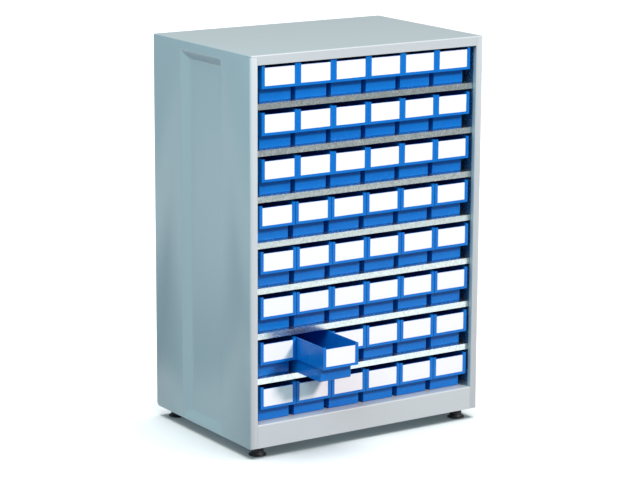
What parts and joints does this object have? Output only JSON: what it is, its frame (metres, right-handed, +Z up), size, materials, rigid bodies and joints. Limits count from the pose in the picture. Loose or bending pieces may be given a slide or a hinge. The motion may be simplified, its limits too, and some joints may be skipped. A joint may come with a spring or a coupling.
{
  "type": "parts organizer",
  "caption": "Free-standing sheet-steel cabinet of sliding plastic storage bins for small parts, on galvanised shelves and levelling feet.",
  "frame": {"origin": "on the floor under the middle of the whole object as it stands at rest, with one bin drawn out", "axes": "+X to the right as seen from the front, +Y towards the back, +Z up; the bins slide out along -Y"},
  "size_m": [0.605, 0.508, 0.878],
  "materials": {
    "painted_steel": "light grey powder coat, smooth satin",
    "galvanised_steel": "galvanised sheet, faint spangle",
    "bracket_steel": "zinc-plated plate and nut",
    "bin_plastic": "moulded polypropylene, glossy",
    "label_card": "blank white label card",
    "foot_plastic": "moulded black plastic"
  },
  "bodies": {
    "carcass": {"side_panel_left": "painted_steel", "side_panel_right": "painted_steel", "top_panel": "painted_steel", "base_panel": "painted_steel", "back_panel": "painted_steel", "shelf_posts": "galvanised_steel", "shelves": "galvanised_steel", "foot_brackets": "bracket_steel"},
    "bin_r1_c1": {"bin_r1_c1": "bin_plastic"},
    "bin_r1_c2": {"bin_r1_c2": "bin_plastic"},
    "bin_r1_c3": {"bin_r1_c3": "bin_plastic"},
    "bin_r1_c4": {"bin_r1_c4": "bin_plastic"},
    "bin_r1_c5": {"bin_r1_c5": "bin_plastic"},
    "bin_r1_c6": {"bin_r1_c6": "bin_plastic"},
    "bin_r2_c1": {"bin_r2_c1": "bin_plastic"},
    "bin_r2_c2": {"bin_r2_c2": "bin_plastic"},
    "bin_r2_c3": {"bin_r2_c3": "bin_plastic"},
    "bin_r2_c4": {"bin_r2_c4": "bin_plastic"},
    "bin_r2_c5": {"bin_r2_c5": "bin_plastic"},
    "bin_r2_c6": {"bin_r2_c6": "bin_plastic"},
    "bin_r3_c1": {"bin_r3_c1": "bin_plastic"},
    "bin_r3_c2": {"bin_r3_c2": "bin_plastic"},
    "bin_r3_c3": {"bin_r3_c3": "bin_plastic"},
    "bin_r3_c4": {"bin_r3_c4": "bin_plastic"},
    "bin_r3_c5": {"bin_r3_c5": "bin_plastic"},
    "bin_r3_c6": {"bin_r3_c6": "bin_plastic"},
    "bin_r4_c1": {"bin_r4_c1": "bin_plastic"},
    "bin_r4_c2": {"bin_r4_c2": "bin_plastic"},
    "bin_r4_c3": {"bin_r4_c3": "bin_plastic"},
    "bin_r4_c4": {"bin_r4_c4": "bin_plastic"},
    "bin_r4_c5": {"bin_r4_c5": "bin_plastic"},
    "bin_r4_c6": {"bin_r4_c6": "bin_plastic"},
    "bin_r5_c1": {"bin_r5_c1": "bin_plastic"},
    "bin_r5_c2": {"bin_r5_c2": "bin_plastic"},
    "bin_r5_c3": {"bin_r5_c3": "bin_plastic"},
    "bin_r5_c4": {"bin_r5_c4": "bin_plastic"},
    "bin_r5_c5": {"bin_r5_c5": "bin_plastic"},
    "bin_r5_c6": {"bin_r5_c6": "bin_plastic"},
    "bin_r6_c1": {"bin_r6_c1": "bin_plastic"},
    "bin_r6_c2": {"bin_r6_c2": "bin_plastic"},
    "bin_r6_c3": {"bin_r6_c3": "bin_plastic"},
    "bin_r6_c4": {"bin_r6_c4": "bin_plastic"},
    "bin_r6_c5": {"bin_r6_c5": "bin_plastic"},
    "bin_r6_c6": {"bin_r6_c6": "bin_plastic"},
    "bin_r7_c1": {"bin_r7_c1": "bin_plastic"},
    "bin_r7_c2": {"bin_r7_c2": "bin_plastic"},
    "bin_r7_c3": {"bin_r7_c3": "bin_plastic"},
    "bin_r7_c4": {"bin_r7_c4": "bin_plastic"},
    "bin_r7_c5": {"bin_r7_c5": "bin_plastic"},
    "bin_r7_c6": {"bin_r7_c6": "bin_plastic"},
    "bin_r8_c1": {"bin_r8_c1": "bin_plastic"},
    "bin_r8_c2": {"bin_r8_c2": "bin_plastic"},
    "bin_r8_c3": {"bin_r8_c3": "bin_plastic"},
    "bin_r8_c4": {"bin_r8_c4": "bin_plastic"},
    "bin_r8_c5": {"bin_r8_c5": "bin_plastic"},
    "bin_r8_c6": {"bin_r8_c6": "bin_plastic"},
    "foot_front_left": {"foot_front_left": "foot_plastic"},
    "foot_front_right": {"foot_front_right": "foot_plastic"},
    "foot_rear_left": {"foot_rear_left": "foot_plastic"},
    "foot_rear_right": {"foot_rear_right": "foot_plastic"}
  },
  "joints": [
    {"name": "bin_r1_c1_slide", "type": "slide", "parent": "carcass", "child": "bin_r1_c1", "axis": [0, -1, 0], "range_m": [0, 0.375]},
    {"name": "bin_r1_c2_slide", "type": "slide", "parent": "carcass", "child": "bin_r1_c2", "axis": [0, -1, 0], "range_m": [0, 0.375]},
    {"name": "bin_r1_c3_slide", "type": "slide", "parent": "carcass", "child": "bin_r1_c3", "axis": [0, -1, 0], "range_m": [0, 0.375]},
    {"name": "bin_r1_c4_slide", "type": "slide", "parent": "carcass", "child": "bin_r1_c4", "axis": [0, -1, 0], "range_m": [0, 0.375]},
    {"name": "bin_r1_c5_slide", "type": "slide", "parent": "carcass", "child": "bin_r1_c5", "axis": [0, -1, 0], "range_m": [0, 0.375]},
    {"name": "bin_r1_c6_slide", "type": "slide", "parent": "carcass", "child": "bin_r1_c6", "axis": [0, -1, 0], "range_m": [0, 0.375]},
    {"name": "bin_r2_c1_slide", "type": "slide", "parent": "carcass", "child": "bin_r2_c1", "axis": [0, -1, 0], "range_m": [0, 0.375]},
    {"name": "bin_r2_c2_slide", "type": "slide", "parent": "carcass", "child": "bin_r2_c2", "axis": [0, -1, 0], "range_m": [0, 0.375]},
    {"name": "bin_r2_c3_slide", "type": "slide", "parent": "carcass", "child": "bin_r2_c3", "axis": [0, -1, 0], "range_m": [0, 0.375]},
    {"name": "bin_r2_c4_slide", "type": "slide", "parent": "carcass", "child": "bin_r2_c4", "axis": [0, -1, 0], "range_m": [0, 0.375]},
    {"name": "bin_r2_c5_slide", "type": "slide", "parent": "carcass", "child": "bin_r2_c5", "axis": [0, -1, 0], "range_m": [0, 0.375]},
    {"name": "bin_r2_c6_slide", "type": "slide", "parent": "carcass", "child": "bin_r2_c6", "axis": [0, -1, 0], "range_m": [0, 0.375]},
    {"name": "bin_r3_c1_slide", "type": "slide", "parent": "carcass", "child": "bin_r3_c1", "axis": [0, -1, 0], "range_m": [0, 0.375]},
    {"name": "bin_r3_c2_slide", "type": "slide", "parent": "carcass", "child": "bin_r3_c2", "axis": [0, -1, 0], "range_m": [0, 0.375]},
    {"name": "bin_r3_c3_slide", "type": "slide", "parent": "carcass", "child": "bin_r3_c3", "axis": [0, -1, 0], "range_m": [0, 0.375]},
    {"name": "bin_r3_c4_slide", "type": "slide", "parent": "carcass", "child": "bin_r3_c4", "axis": [0, -1, 0], "range_m": [0, 0.375]},
    {"name": "bin_r3_c5_slide", "type": "slide", "parent": "carcass", "child": "bin_r3_c5", "axis": [0, -1, 0], "range_m": [0, 0.375]},
    {"name": "bin_r3_c6_slide", "type": "slide", "parent": "carcass", "child": "bin_r3_c6", "axis": [0, -1, 0], "range_m": [0, 0.375]},
    {"name": "bin_r4_c1_slide", "type": "slide", "parent": "carcass", "child": "bin_r4_c1", "axis": [0, -1, 0], "range_m": [0, 0.375]},
    {"name": "bin_r4_c2_slide", "type": "slide", "parent": "carcass", "child": "bin_r4_c2", "axis": [0, -1, 0], "range_m": [0, 0.375]},
    {"name": "bin_r4_c3_slide", "type": "slide", "parent": "carcass", "child": "bin_r4_c3", "axis": [0, -1, 0], "range_m": [0, 0.375]},
    {"name": "bin_r4_c4_slide", "type": "slide", "parent": "carcass", "child": "bin_r4_c4", "axis": [0, -1, 0], "range_m": [0, 0.375]},
    {"name": "bin_r4_c5_slide", "type": "slide", "parent": "carcass", "child": "bin_r4_c5", "axis": [0, -1, 0], "range_m": [0, 0.375]},
    {"name": "bin_r4_c6_slide", "type": "slide", "parent": "carcass", "child": "bin_r4_c6", "axis": [0, -1, 0], "range_m": [0, 0.375]},
    {"name": "bin_r5_c1_slide", "type": "slide", "parent": "carcass", "child": "bin_r5_c1", "axis": [0, -1, 0], "range_m": [0, 0.375]},
    {"name": "bin_r5_c2_slide", "type": "slide", "parent": "carcass", "child": "bin_r5_c2", "axis": [0, -1, 0], "range_m": [0, 0.375]},
    {"name": "bin_r5_c3_slide", "type": "slide", "parent": "carcass", "child": "bin_r5_c3", "axis": [0, -1, 0], "range_m": [0, 0.375]},
    {"name": "bin_r5_c4_slide", "type": "slide", "parent": "carcass", "child": "bin_r5_c4", "axis": [0, -1, 0], "range_m": [0, 0.375]},
    {"name": "bin_r5_c5_slide", "type": "slide", "parent": "carcass", "child": "bin_r5_c5", "axis": [0, -1, 0], "range_m": [0, 0.375]},
    {"name": "bin_r5_c6_slide", "type": "slide", "parent": "carcass", "child": "bin_r5_c6", "axis": [0, -1, 0], "range_m": [0, 0.375]},
    {"name": "bin_r6_c1_slide", "type": "slide", "parent": "carcass", "child": "bin_r6_c1", "axis": [0, -1, 0], "range_m": [0, 0.375]},
    {"name": "bin_r6_c2_slide", "type": "slide", "parent": "carcass", "child": "bin_r6_c2", "axis": [0, -1, 0], "range_m": [0, 0.375]},
    {"name": "bin_r6_c3_slide", "type": "slide", "parent": "carcass", "child": "bin_r6_c3", "axis": [0, -1, 0], "range_m": [0, 0.375]},
    {"name": "bin_r6_c4_slide", "type": "slide", "parent": "carcass", "child": "bin_r6_c4", "axis": [0, -1, 0], "range_m": [0, 0.375]},
    {"name": "bin_r6_c5_slide", "type": "slide", "parent": "carcass", "child": "bin_r6_c5", "axis": [0, -1, 0], "range_m": [0, 0.375]},
    {"name": "bin_r6_c6_slide", "type": "slide", "parent": "carcass", "child": "bin_r6_c6", "axis": [0, -1, 0], "range_m": [0, 0.375]},
    {"name": "bin_r7_c1_slide", "type": "slide", "parent": "carcass", "child": "bin_r7_c1", "axis": [0, -1, 0], "range_m": [0, 0.375]},
    {"name": "bin_r7_c2_slide", "type": "slide", "parent": "carcass", "child": "bin_r7_c2", "axis": [0, -1, 0], "range_m": [-0.105, 0.27]},
    {"name": "bin_r7_c3_slide", "type": "slide", "parent": "carcass", "child": "bin_r7_c3", "axis": [0, -1, 0], "range_m": [0, 0.375]},
    {"name": "bin_r7_c4_slide", "type": "slide", "parent": "carcass", "child": "bin_r7_c4", "axis": [0, -1, 0], "range_m": [0, 0.375]},
    {"name": "bin_r7_c5_slide", "type": "slide", "parent": "carcass", "child": "bin_r7_c5", "axis": [0, -1, 0], "range_m": [0, 0.375]},
    {"name": "bin_r7_c6_slide", "type": "slide", "parent": "carcass", "child": "bin_r7_c6", "axis": [0, -1, 0], "range_m": [0, 0.375]},
    {"name": "bin_r8_c1_slide", "type": "slide", "parent": "carcass", "child": "bin_r8_c1", "axis": [0, -1, 0], "range_m": [0, 0.375]},
    {"name": "bin_r8_c2_slide", "type": "slide", "parent": "carcass", "child": "bin_r8_c2", "axis": [0, -1, 0], "range_m": [0, 0.375]},
    {"name": "bin_r8_c3_slide", "type": "slide", "parent": "carcass", "child": "bin_r8_c3", "axis": [0, -1, 0], "range_m": [0, 0.375]},
    {"name": "bin_r8_c4_slide", "type": "slide", "parent": "carcass", "child": "bin_r8_c4", "axis": [0, -1, 0], "range_m": [0, 0.375]},
    {"name": "bin_r8_c5_slide", "type": "slide", "parent": "carcass", "child": "bin_r8_c5", "axis": [0, -1, 0], "range_m": [0, 0.375]},
    {"name": "bin_r8_c6_slide", "type": "slide", "parent": "carcass", "child": "bin_r8_c6", "axis": [0, -1, 0], "range_m": [0, 0.375]},
    {"name": "foot_front_left_height", "type": "slide", "parent": "carcass", "child": "foot_front_left", "axis": [0, 0, -1], "range_m": [0, 0.012]},
    {"name": "foot_front_right_height", "type": "slide", "parent": "carcass", "child": "foot_front_right", "axis": [0, 0, -1], "range_m": [0, 0.012]},
    {"name": "foot_rear_left_height", "type": "slide", "parent": "carcass", "child": "foot_rear_left", "axis": [0, 0, -1], "range_m": [0, 0.012]},
    {"name": "foot_rear_right_height", "type": "slide", "parent": "carcass", "child": "foot_rear_right", "axis": [0, 0, -1], "range_m": [0, 0.012]}
  ]
}
